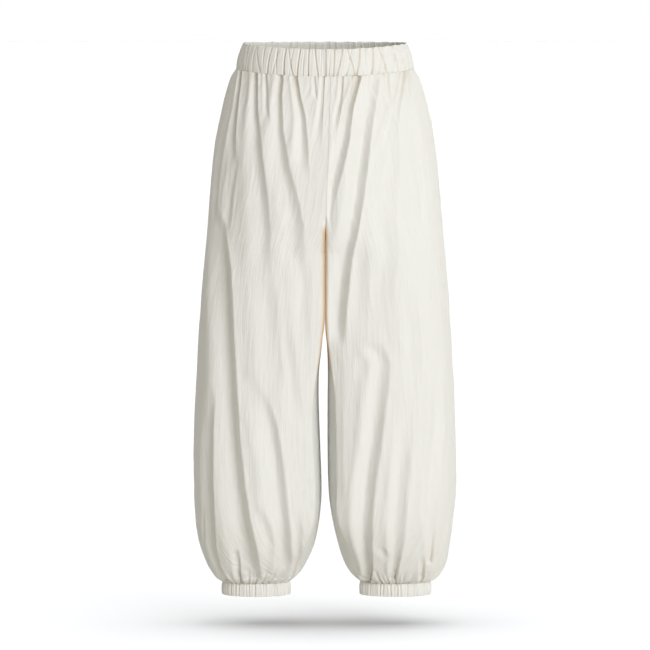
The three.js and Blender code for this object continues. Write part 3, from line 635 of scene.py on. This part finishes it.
def shell(name, p, n, u, painted_shade_and_glow, side, wall):
    """A closed thin shell on a grid of points, with its own distances as UVs in metres."""
    rows, columns = p.shape[:2]
    inner = p - n * wall
    verts = np.concatenate([p.reshape(-1, 3), inner.reshape(-1, 3)]) * MM
    r, c = np.mgrid[0 : rows - 1, 0 : columns - 1]
    a = (r * columns + c).ravel()
    quads = np.stack([a, a + columns, a + columns + 1, a + 1], axis=1)
    under = quads[:, ::-1] + rows * columns
    size = rows * columns
    left = np.arange(rows - 1) * columns
    right = left + columns - 1
    top = np.arange(columns - 1)
    foot = top + (rows - 1) * columns
    rims = [
        np.stack([left, left + size, left + size + columns, left + columns], axis=1),
        np.stack([right, right + columns, right + columns + size, right + size], axis=1),
        np.stack([top, top + 1, top + 1 + size, top + size], axis=1),
        np.stack([foot, foot + size, foot + 1 + size, foot + 1], axis=1),
    ]
    faces = np.concatenate([quads, under, *rims])
    if side < 0:
        faces = faces[:, ::-1]
    uv = np.dstack([u, p[:, :, 2]]).reshape(-1, 2) * MM
    return mesh_object(name, verts, faces, np.concatenate([uv, uv]), np.tile(painted_shade_and_glow.ravel(), 2))


def mesh_object(name, verts, faces, uv, painted_shade_and_glow):
    mesh = bpy.data.meshes.new(name)
    mesh.vertices.add(len(verts))
    mesh.vertices.foreach_set("co", verts.astype(np.float32).ravel())
    mesh.loops.add(faces.size)
    mesh.loops.foreach_set("vertex_index", faces.astype(np.int32).ravel())
    mesh.polygons.add(len(faces))
    mesh.polygons.foreach_set("loop_start", np.arange(0, faces.size, faces.shape[1], dtype=np.int32))
    mesh.update(calc_edges=True)
    layer = mesh.uv_layers.new(name="cloth")
    layer.data.foreach_set("uv", uv[faces.ravel()].astype(np.float32).ravel())
    mesh.polygons.foreach_set("use_smooth", np.ones(len(faces), bool))
    # Painted shade and glow: where the cloth is painted darker and warmer, and glows, in creases and
    # between the legs
    colour = mesh.color_attributes.new(name="painted_shade_and_glow", type="FLOAT_COLOR", domain="POINT")
    value = np.clip(painted_shade_and_glow, 0, 1).astype(np.float32).reshape(-1, 1)
    colour.data.foreach_set("color", np.hstack([value, value, value, np.ones_like(value)]).ravel())
    mesh.validate()
    obj = bpy.data.objects.new(name, mesh)
    bpy.context.scene.collection.objects.link(obj)
    return obj


def ring(name, sections, u, painted_shade_and_glow):
    """A closed ring of sections, each a closed outline of points."""
    count, rows = sections.shape[:2]
    verts = sections.reshape(-1, 3) * MM
    s, r = np.mgrid[0:count, 0:rows]
    s2, r2 = (s + 1) % count, (r + 1) % rows
    faces = np.stack([s * rows + r, s2 * rows + r, s2 * rows + r2, s * rows + r2], axis=2).reshape(-1, 4)
    heights = sections[:, :, 2] - sections[:, :, 2].min()
    uv = np.dstack([np.broadcast_to(u[:, None], heights.shape), heights]).reshape(-1, 2) * MM
    return mesh_object(name, verts, faces, uv, painted_shade_and_glow.ravel())


# Camera, at the photo's angle
CAMERA_DISTANCE = 9.0
CAMERA_ELEVATION = math.radians(4.5)
CAMERA_AIM = (0.0, 0.0, -0.465)
camera_data = bpy.data.cameras.new("camera")
camera_data.sensor_width = 36.0
camera_data.lens = 288.0
camera_data.clip_end = 300.0
camera = bpy.data.objects.new("camera", camera_data)
camera.location = (
    0.0,
    -CAMERA_DISTANCE * math.cos(CAMERA_ELEVATION),
    CAMERA_AIM[2] + CAMERA_DISTANCE * math.sin(CAMERA_ELEVATION),
)
camera.rotation_euler = (math.pi / 2 - CAMERA_ELEVATION, 0, 0)
bpy.context.scene.collection.objects.link(camera)
bpy.context.scene.camera = camera


# Materials
COTTON = (0.88, 0.874, 0.842)
# Painted shade and glow: the warm tone painted into creases and between the legs, and the strength of
# their painted glow
PAINTED_SHADE_AND_GLOW_TONE = (0.78, 0.54, 0.30)
PAINTED_GLOW = 0.025
WARP_PER_METRE = 1500
WEFT_PER_METRE = 1300
# Blender's wave texture has this many bands a metre at a scale of 1
BANDS_PER_METRE = 3.18


def cotton(name, tint):
    """Off-white plain-weave cotton with a slight vertical crinkle, and painted warm shade and a painted
    glow in its creases.
    """
    material = bpy.data.materials.new(name)
    material.use_nodes = True
    nodes, links = material.node_tree.nodes, material.node_tree.links
    shader = nodes["Principled BSDF"]
    shader.inputs["Roughness"].default_value = 0.86
    shader.inputs["Specular IOR Level"].default_value = 0.25
    shader.inputs["Sheen Weight"].default_value = 0.12
    shader.inputs["Sheen Roughness"].default_value = 0.5
    uv = nodes.new("ShaderNodeUVMap")
    uv.uv_map = "cloth"

    def noise(scale, detail, rough=0.5):
        mapping = nodes.new("ShaderNodeMapping")
        mapping.inputs["Scale"].default_value = scale
        links.new(uv.outputs["UV"], mapping.inputs["Vector"])
        texture = nodes.new("ShaderNodeTexNoise")
        texture.inputs["Scale"].default_value = 1.0
        texture.inputs["Detail"].default_value = detail
        texture.inputs["Roughness"].default_value = rough
        links.new(mapping.outputs["Vector"], texture.inputs["Vector"])
        return texture.outputs["Fac"]

    def wave(direction, per_metre):
        texture = nodes.new("ShaderNodeTexWave")
        texture.wave_type = "BANDS"
        texture.bands_direction = direction
        texture.inputs["Scale"].default_value = per_metre / BANDS_PER_METRE
        texture.inputs["Distortion"].default_value = 0.6
        texture.inputs["Detail"].default_value = 1.0
        links.new(uv.outputs["UV"], texture.inputs["Vector"])
        return texture.outputs["Fac"]

    def math_node(operation, a, b):
        node = nodes.new("ShaderNodeMath")
        node.operation = operation
        for socket, value in zip(node.inputs, (a, b)):
            if isinstance(value, (int, float)):
                socket.default_value = value
            else:
                links.new(value, socket)
        return node.outputs[0]

    crinkle = noise((150, 14, 1), 3.0, 0.55)
    slub = noise((420, 26, 1), 2.0)
    weave = math_node("MULTIPLY", wave("X", WARP_PER_METRE), wave("Y", WEFT_PER_METRE))
    height = math_node("ADD", crinkle, math_node("MULTIPLY", slub, 0.35))
    height = math_node("ADD", height, math_node("MULTIPLY", weave, 0.10))
    bump = nodes.new("ShaderNodeBump")
    bump.inputs["Strength"].default_value = 0.9
    bump.inputs["Distance"].default_value = 0.0022
    links.new(height, bump.inputs["Height"])
    links.new(bump.outputs["Normal"], shader.inputs["Normal"])

    ramp = nodes.new("ShaderNodeMix")
    ramp.data_type = "RGBA"
    ramp.inputs["A"].default_value = (*[c * 0.965 for c in tint], 1)
    ramp.inputs["B"].default_value = (*tint, 1)
    links.new(slub, ramp.inputs["Factor"])
    # Painted shade: the attribute darkens and warms the base colour in creases and between the legs
    painted_shade_and_glow = nodes.new("ShaderNodeVertexColor")
    painted_shade_and_glow.layer_name = "painted_shade_and_glow"
    painted_shade_mix = nodes.new("ShaderNodeMix")
    painted_shade_mix.data_type = "RGBA"
    painted_shade_mix.inputs["B"].default_value = (*[a * b for a, b in zip(tint, PAINTED_SHADE_AND_GLOW_TONE)], 1)
    links.new(ramp.outputs["Result"], painted_shade_mix.inputs["A"])
    links.new(painted_shade_and_glow.outputs["Color"], painted_shade_mix.inputs["Factor"])
    links.new(painted_shade_mix.outputs["Result"], shader.inputs["Base Color"])
    # Painted glow: the creases and the gap between the legs glow a little in the painted shade's tone, in
    # place of light through the cloth
    through = math_node("MULTIPLY", painted_shade_and_glow.outputs["Color"], PAINTED_GLOW)
    links.new(through, shader.inputs["Emission Strength"])
    shader.inputs["Emission Color"].default_value = (*PAINTED_SHADE_AND_GLOW_TONE, 1)
    return material


cotton_material = cotton("cotton", COTTON)
thread_material = bpy.data.materials.new("thread")
thread_material.use_nodes = True
thread_shader = thread_material.node_tree.nodes["Principled BSDF"]
thread_shader.inputs["Base Color"].default_value = (0.86, 0.845, 0.80, 1)
thread_shader.inputs["Roughness"].default_value = 0.6


def finish_piece(obj, node):
    """Gives the piece the cotton material, hangs it on the root body and hides the solid it stands for."""
    obj.data.materials.append(cotton_material)
    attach(obj, "root")
    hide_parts(node)


legs = {}
for side, wearers in ((-1, "right"), (1, "left")):
    legs[side] = leg(side)
    front = [grid[:, :FRONT_COLUMNS] for grid in legs[side]]
    back = [grid[:, FRONT_COLUMNS:] for grid in legs[side]]
    obj = shell(f"leg_front_{wearers}", *front, side, CLOTH)
    finish_piece(obj, f"front_{wearers}")
    obj = shell(f"leg_back_{wearers}", *back, side, CLOTH)
    finish_piece(obj, f"back_{wearers}")


# A stitch's radii along its length, and how far its middle stands out of the cloth
THREAD_SECTIONS = (0.02, 0.2, 0.26, 0.2, 0.02)
THREAD_SIDES = 6
THREAD_OUT = 0.12


def stitches(name, line, step, length):
    """Small threads along a closed line of points, each a thin rounded stick half sunk in the cloth."""
    out = line - line.mean(axis=0)
    out[:, 2] = 0
    out /= np.linalg.norm(out, axis=1, keepdims=True)
    verts, faces = [], []
    for start in range(0, len(line) - length, step):
        along = line[start + length] - line[start]
        along /= np.linalg.norm(along)
        outward = out[start]
        up = np.cross(along, outward)
        places = np.linspace(0, 1, len(THREAD_SECTIONS))
        base = len(verts)
        for place, radius in zip(places, THREAD_SECTIONS):
            middle = mix(line[start], line[start + length], place) + outward * THREAD_OUT
            for turn in range(THREAD_SIDES):
                angle = 2 * math.pi * turn / THREAD_SIDES
                verts.append(middle + radius * (math.cos(angle) * outward + math.sin(angle) * up))
        for ring_at in range(len(THREAD_SECTIONS) - 1):
            for turn in range(THREAD_SIDES):
                a = base + ring_at * THREAD_SIDES + turn
                b = base + ring_at * THREAD_SIDES + (turn + 1) % THREAD_SIDES
                faces.append((a, a + THREAD_SIDES, b + THREAD_SIDES, b))
    verts = np.array(verts) * MM
    obj = mesh_object(name, verts, np.array(faces), np.zeros((len(verts), 2)), np.zeros(len(verts)))
    obj.data.materials.append(thread_material)
    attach(obj, "root")


# Waistband: creases by their place at the top edge and at the seam, depth there, and half width
FRONT_CREASES = [
    # x at the top, x at the seam, depth at the top, depth at the seam, half width
    (-143, -150, 1.6, 2.2, 3.0), (-138, -141, 1.2, 1.8, 2.2), (-131, -147, 1.2, 0.4, 1.8),
    (-131, -136, 2.0, 2.4, 2.4), (-126, -133, 1.8, 2.4, 2.4), (-119, -124, 2.2, 2.4, 2.2),
    (-117, -111, 0.6, 2.2, 2.4), (-104, -105, 1.8, 0.3, 2.6), (-92, -99, 2.4, 2.6, 2.6),
    (-82, -83, 2.0, 1.0, 2.4), (-78, -90, 0.6, 1.6, 2.0), (-68, -71, 2.4, 2.8, 2.6),
    (-63, -55, 1.4, 2.2, 2.4), (-54, -62, 1.6, 0.4, 2.0), (-43, -48, 2.2, 2.4, 2.6),
    (-35, -38, 1.0, 1.6, 2.0), (-28, -29, 2.2, 2.6, 2.4), (-18, -12, 2.0, 2.2, 2.4),
    (-6, -8, 1.2, 0.4, 2.0), (1, 1, 2.2, 2.4, 2.4), (9, 6, 0.8, 1.6, 2.0),
    (16, 14, 2.2, 2.4, 2.6), (30, 20, 2.4, 2.2, 2.6), (38, 51, 1.8, 2.2, 2.6),
    (45, 36, 0.8, 1.8, 2.2), (60, 54, 2.2, 2.6, 2.6), (70, 64, 1.4, 0.4, 2.0),
    (82, 80, 2.2, 2.6, 2.6), (92, 106, 2.0, 2.4, 2.8), (99, 91, 1.2, 1.8, 2.2),
    (108, 99, 0.6, 1.6, 2.0), (116, 125, 2.0, 2.4, 2.4), (121, 116, 0.8, 1.6, 2.0),
    (126, 139, 1.8, 2.4, 2.4), (133, 131, 0.4, 1.8, 2.0), (138, 148, 1.4, 2.0, 2.4),
]
BACK_CREASES = [
    # The same columns
    (
        round(-140 + 7.6 * i + 3.0 * math.sin(2.1 * i), 1),
        round(-145 + 7.9 * i + 3.4 * math.sin(2.1 * i + 0.7), 1),
        1.5 + 0.8 * math.sin(1.3 * i),
        1.8 + 0.7 * math.sin(2.6 * i + 1),
        2.4,
    )
    for i in range(38)
]
BAND_HEIGHT = 46.0
BAND_WALL = 3.0
BAND_COLUMNS = 1150
BAND_TOP_HALF = 142
BAND_SWELL = 0.6
# Painted shade in the band's creases: how deep it starts, how much deeper it is strongest, and how strong
BAND_PAINTED_SHADE = (0.6, 3.5, 0.6)
# The weave's distance round, for each radian
BAND_ROUND = 125
# Each crease is a sharp valley in a broad one: depth and half width, as shares of the table's
SHARP = (1.3, 0.5)
BROAD = (0.35, 1.6)
# The top edge waves a little, so often round the waist
EDGE_WAVE = 0.5
EDGE_WAVES = 31


def band_angle(x, half_width, back):
    angle = math.asin(max(-1.0, min(1.0, x / half_width)))
    return math.pi - angle if back else angle


def waistband():
    # The section's outline, up the outer face, over the rolled edge and down the inner face
    outside = [(rise, 0.0) for rise in (0, 0.2, 1.5, 3, 4.5, 6, *np.linspace(9, 42, 12))]
    top = BAND_HEIGHT - BAND_WALL / 2
    roll = [
        (top + BAND_WALL / 2 * math.sin(t), BAND_WALL / 2 * (1 - math.cos(t)))
        for t in np.linspace(0, math.pi, 7)
    ]
    inside = [(rise, BAND_WALL) for rise in (40, 34, 27, 20, 13, 7, 3, 0.2, 0)]
    outline_points = np.array(outside + roll + inside)
    rise, inset = outline_points.T
    angle = np.linspace(0, 2 * np.pi, BAND_COLUMNS, endpoint=False)[:, None]
    t = rise[None, :] / BAND_HEIGHT
    width, front, back = [curve(rise)[None, :] for curve in band]
    out = 0.2 + BAND_SWELL * np.sin(np.pi * np.clip(t, 0, 1)) + 0 * angle
    for table, is_back in ((FRONT_CREASES, False), (BACK_CREASES, True)):
        for x_top, x_foot, deep_top, deep_foot, half_width in table:
            a_top = band_angle(x_top, BAND_TOP_HALF, is_back)
            a_foot = band_angle(x_foot, WAIST_HALF, is_back)
            place = mix(a_foot, a_top, t)
            off = (angle - place + np.pi) % (2 * np.pi) - np.pi
            local = np.hypot(width * np.cos(place), front * np.sin(place))
            deep = mix(deep_foot, deep_top, smooth(t))
            for depths, widths in (SHARP, BROAD):
                wide = widths * half_width
                out = out + depths * deep * trough(off * local, wide, wide)
    # The cloth is drawn in at the seam
    seam_depth, seam_width = WAIST_TUCK
    out = out - seam_depth * bell(rise, seam_width)[None, :]
    # Painted shade: the band's creases are painted darker and warmer
    painted_shade_and_glow = painted_crease_shade(-out, BAND_PAINTED_SHADE)
    inner_face = inset > BAND_WALL / 2
    out = np.where(inner_face, 0.4 * out, out) - inset[None, :]
    x = (width + out) * np.sin(angle)
    reach = np.where(np.cos(angle) > 0, front, back) + out
    y = -reach * np.cos(angle)
    z = WAIST_Z + rise[None, :] - waist_dip(x, y < 0)
    wave = EDGE_WAVE * np.sin(angle * EDGE_WAVES + 1.3 * np.sin(angle * 7))
    z = z + wave * smooth((t - 0.7) / 0.3)
    sections = np.dstack([x, y, z])
    obj = ring("waistband_cloth", sections, (angle * BAND_ROUND).ravel(), painted_shade_and_glow)
    finish_piece(obj, "waistband")
    stitches("waist_stitches", sections[:, 2], 5, 3)


waistband()

CUFFS = [
    # side, centre, half width, half depth
    (-1, -119.3, 58.5, 42.0),
    (1, 122.0, 61.0, 42.0),
]
CUFF_HEIGHT = 22.5
CUFF_WALL = 2.4
CUFF_RIBS = 38
CUFF_COLUMNS = 760
CUFF_SWELL = 0.9
# How the cloth is drawn in at the seam: depth and half width
CUFF_SEAM = (0.7, 2.6)
# Painted shade in the cuff's rib valleys: how deep it starts, how much deeper it is strongest, and how
# strong
CUFF_PAINTED_SHADE = (0, 4, 0.7)
CUFF_ROUND = 55
RIB_HALF_WIDTH = 1.5


def cuff(side, centre, half_width, half_depth, name):
    outside = [(drop, 0.0) for drop in (0, 0.2, 1.3, 2.6, 4, *np.linspace(6.5, CUFF_HEIGHT - 2, 7))]
    edge = CUFF_WALL / 2
    roll = [
        (CUFF_HEIGHT - edge + edge * math.sin(t), edge * (1 - math.cos(t)))
        for t in np.linspace(0, math.pi, 6)
    ]
    inside = [(drop, CUFF_WALL) for drop in (18, 12, 6, 0)]
    outline_points = np.array(outside + roll + inside)[::-1]
    drop, inset = outline_points.T
    angle = np.linspace(0, 2 * np.pi, CUFF_COLUMNS, endpoint=False)[:, None]
    t = drop[None, :] / CUFF_HEIGHT
    out = 0.5 + CUFF_SWELL * np.sin(np.pi * np.clip(t, 0, 1)) + 0 * angle
    for i in range(CUFF_RIBS):
        place = 2 * np.pi * (i + 0.3 * math.sin(2.7 * i + side)) / CUFF_RIBS
        place = place + 0.02 * (t - 0.5) * math.sin(1.9 * i)
        off = (angle - place + np.pi) % (2 * np.pi) - np.pi
        local = np.hypot(half_width * np.cos(place), half_depth * np.sin(place))
        deep = 1.7 + 0.6 * math.sin(3.3 * i)
        out = out + deep * trough(off * local, RIB_HALF_WIDTH, RIB_HALF_WIDTH)
    seam_depth, seam_width = CUFF_SEAM
    out = out - seam_depth * bell(drop, seam_width)[None, :]
    # Painted shade: the cuff's rib valleys are painted darker and warmer
    painted_shade_and_glow = painted_crease_shade(-out, CUFF_PAINTED_SHADE)
    out = out - inset[None, :]
    x = centre + (half_width + out) * np.sin(angle)
    y = -(half_depth + out) * np.cos(angle)
    z = BOTTOM_Z - np.broadcast_to(drop[None, :], x.shape)
    sections = np.dstack([x, y, z])
    stitches(f"{name}_stitches", sections[:, -2], 8, 5)
    obj = ring(name, sections, (angle * CUFF_ROUND).ravel(), painted_shade_and_glow)
    finish_piece(obj, f"cuff_{'left' if side > 0 else 'right'}")


for side, centre, half_width, half_depth in CUFFS:
    cuff(side, centre, half_width, half_depth, f"cuff_cloth_{'left' if side > 0 else 'right'}")

# Pocket bags behind the front panels
POCKET_TOP_Z = -56.0
POCKET_BOTTOM_Z = -340.0
POCKET_INNER = 0.36
POCKET_GAP = 0.9
for side, wearers in ((-1, "right"), (1, "left")):
    rows = np.flatnonzero((LEVELS <= POCKET_TOP_Z) & (LEVELS >= POCKET_BOTTOM_Z))[::2]
    columns = np.flatnonzero(spaced(FRONT_COLUMNS, CROWDED_COLUMNS) >= POCKET_INNER)[::2]
    p, n, u, painted_shade_and_glow = [grid[np.ix_(rows, columns)] for grid in legs[side]]
    obj = shell(f"pocket_{wearers}", p - n * (CLOTH + POCKET_GAP), n, u, painted_shade_and_glow, side, 2 * CLOTH)
    finish_piece(obj, f"pocket_bag_{wearers}")

# Floor and backdrop: pale, plain and left out of the cloth's diffuse light. The backdrop casts no shadow.
FLOOR_Z = -0.985
FLOOR_REACH = 120
FLOOR_COLOUR = (0.32, 0.325, 0.335, 1)
FLOOR_GLOW = 0.19
BACKDROP_RADIUS = 42
BACKDROP_HEIGHT = 40
BACKDROP_SIDES = 48


def stage_piece(name, points, faces):
    mesh = bpy.data.meshes.new(name)
    mesh.from_pydata(points, [], faces)
    piece = bpy.data.objects.new(name, mesh)
    bpy.context.scene.collection.objects.link(piece)
    piece.visible_diffuse = False
    material = bpy.data.materials.new(name)
    material.use_nodes = True
    mesh.materials.append(material)
    shader = material.node_tree.nodes["Principled BSDF"]
    shader.inputs["Roughness"].default_value = 1.0
    shader.inputs["Specular IOR Level"].default_value = 0.0
    return shader


corners = [(-1, -1), (1, -1), (1, 1), (-1, 1)]
floor_points = [(x * FLOOR_REACH, y * FLOOR_REACH, FLOOR_Z) for x, y in corners]
floor_shader = stage_piece("floor", floor_points, [(0, 1, 2, 3)])
floor_shader.inputs["Base Color"].default_value = FLOOR_COLOUR
floor_shader.inputs["Emission Color"].default_value = (1, 1, 1, 1)
floor_shader.inputs["Emission Strength"].default_value = FLOOR_GLOW

around = [2 * math.pi * i / BACKDROP_SIDES for i in range(BACKDROP_SIDES)]
wall = [
    (BACKDROP_RADIUS * math.cos(a), BACKDROP_RADIUS * math.sin(a), z)
    for z in (FLOOR_Z - 1, BACKDROP_HEIGHT)
    for a in around
]
sides = [
    (i, (i + 1) % BACKDROP_SIDES, BACKDROP_SIDES + (i + 1) % BACKDROP_SIDES, BACKDROP_SIDES + i)
    for i in range(BACKDROP_SIDES)
]
backdrop_shader = stage_piece("backdrop", wall, sides)
bpy.data.objects["backdrop"].visible_shadow = False
backdrop_shader.inputs["Base Color"].default_value = (0, 0, 0, 1)
backdrop_shader.inputs["Emission Color"].default_value = (1, 1, 1, 1)
backdrop_shader.inputs["Emission Strength"].default_value = 1.0


# Lights: a large soft key in front on the wearer's left, a soft lamp behind, two soft suns above for the
# floor alone, and a warm dome that is a little brighter below and dimmer on the wearer's right
def point_at(light, place, aim):
    light.location = place
    direction = np.array(aim) - np.array(place)
    flat = math.hypot(direction[0], direction[1])
    light.rotation_euler = (math.atan2(flat, -direction[2]), 0, math.atan2(-direction[0], direction[1]))
    bpy.context.scene.collection.objects.link(light)


def area_light(name, place, aim, size, power, colour):
    data = bpy.data.lights.new(name, "AREA")
    data.shape = "RECTANGLE"
    data.size, data.size_y = size
    data.energy = power
    data.color = colour
    lamp = bpy.data.objects.new(name, data)
    point_at(lamp, place, aim)
    return lamp


def sun(name, place, angle, power):
    data = bpy.data.lights.new(name, "SUN")
    data.energy = power
    data.angle = math.radians(angle)
    lamp = bpy.data.objects.new(name, data)
    point_at(lamp, place, (0, 0, 0))
    return lamp


# name, place, aim, size, power and colour
area_light("key", (2.5, -4.4, 0.9), (0, 0, -0.45), (3.0, 2.4), 155, (0.96, 0.98, 1.0))
# A soft lamp behind for the back, which leaves the floor as it is
behind = area_light("behind", (1.6, 4.8, 1.2), (0, 0, -0.45), (2.4, 2.4), 80, (0.97, 0.98, 1.0))
floor_left_out = bpy.data.collections.new("floor_left_out")
floor_left_out.objects.link(bpy.data.objects["floor"])
floor_left_out.collection_objects[0].light_linking.link_state = "EXCLUDE"
behind.light_linking.receiver_collection = floor_left_out
# The two lamps overhead light the floor alone; the garment still casts its soft shadow there
floor_alone = bpy.data.collections.new("floor_alone")
floor_alone.objects.link(bpy.data.objects["floor"])
for name, x in (("overhead_left", -1.3), ("overhead_right", 1.5)):
    overhead = sun(name, (x, 0, 3), 70, 3.6)
    overhead.light_linking.receiver_collection = floor_alone

world = bpy.data.worlds.new("world")
bpy.context.scene.world = world
world.use_nodes = True
world_nodes, world_links = world.node_tree.nodes, world.node_tree.links
direction = world_nodes.new("ShaderNodeTexCoord")
height = world_nodes.new("ShaderNodeSeparateXYZ")
from_below = world_nodes.new("ShaderNodeMapRange")
from_below.inputs["From Min"].default_value = -0.8
from_below.inputs["From Max"].default_value = 0.3
from_below.inputs["To Min"].default_value = 0.66
from_below.inputs["To Max"].default_value = 0.55
from_side = world_nodes.new("ShaderNodeMapRange")
from_side.inputs["From Min"].default_value = -1.0
from_side.inputs["From Max"].default_value = 1.0
from_side.inputs["To Min"].default_value = 0.82
from_side.inputs["To Max"].default_value = 1.12
strength = world_nodes.new("ShaderNodeMath")
strength.operation = "MULTIPLY"
world_links.new(direction.outputs["Generated"], height.inputs["Vector"])
world_links.new(height.outputs["Z"], from_below.inputs["Value"])
world_links.new(height.outputs["X"], from_side.inputs["Value"])
world_links.new(from_below.outputs["Result"], strength.inputs[0])
world_links.new(from_side.outputs["Result"], strength.inputs[1])
world_links.new(strength.outputs[0], world_nodes["Background"].inputs["Strength"])
world_nodes["Background"].inputs["Color"].default_value = (1.0, 0.963, 0.87, 1)

bpy.context.scene.view_settings.view_transform = "Standard"
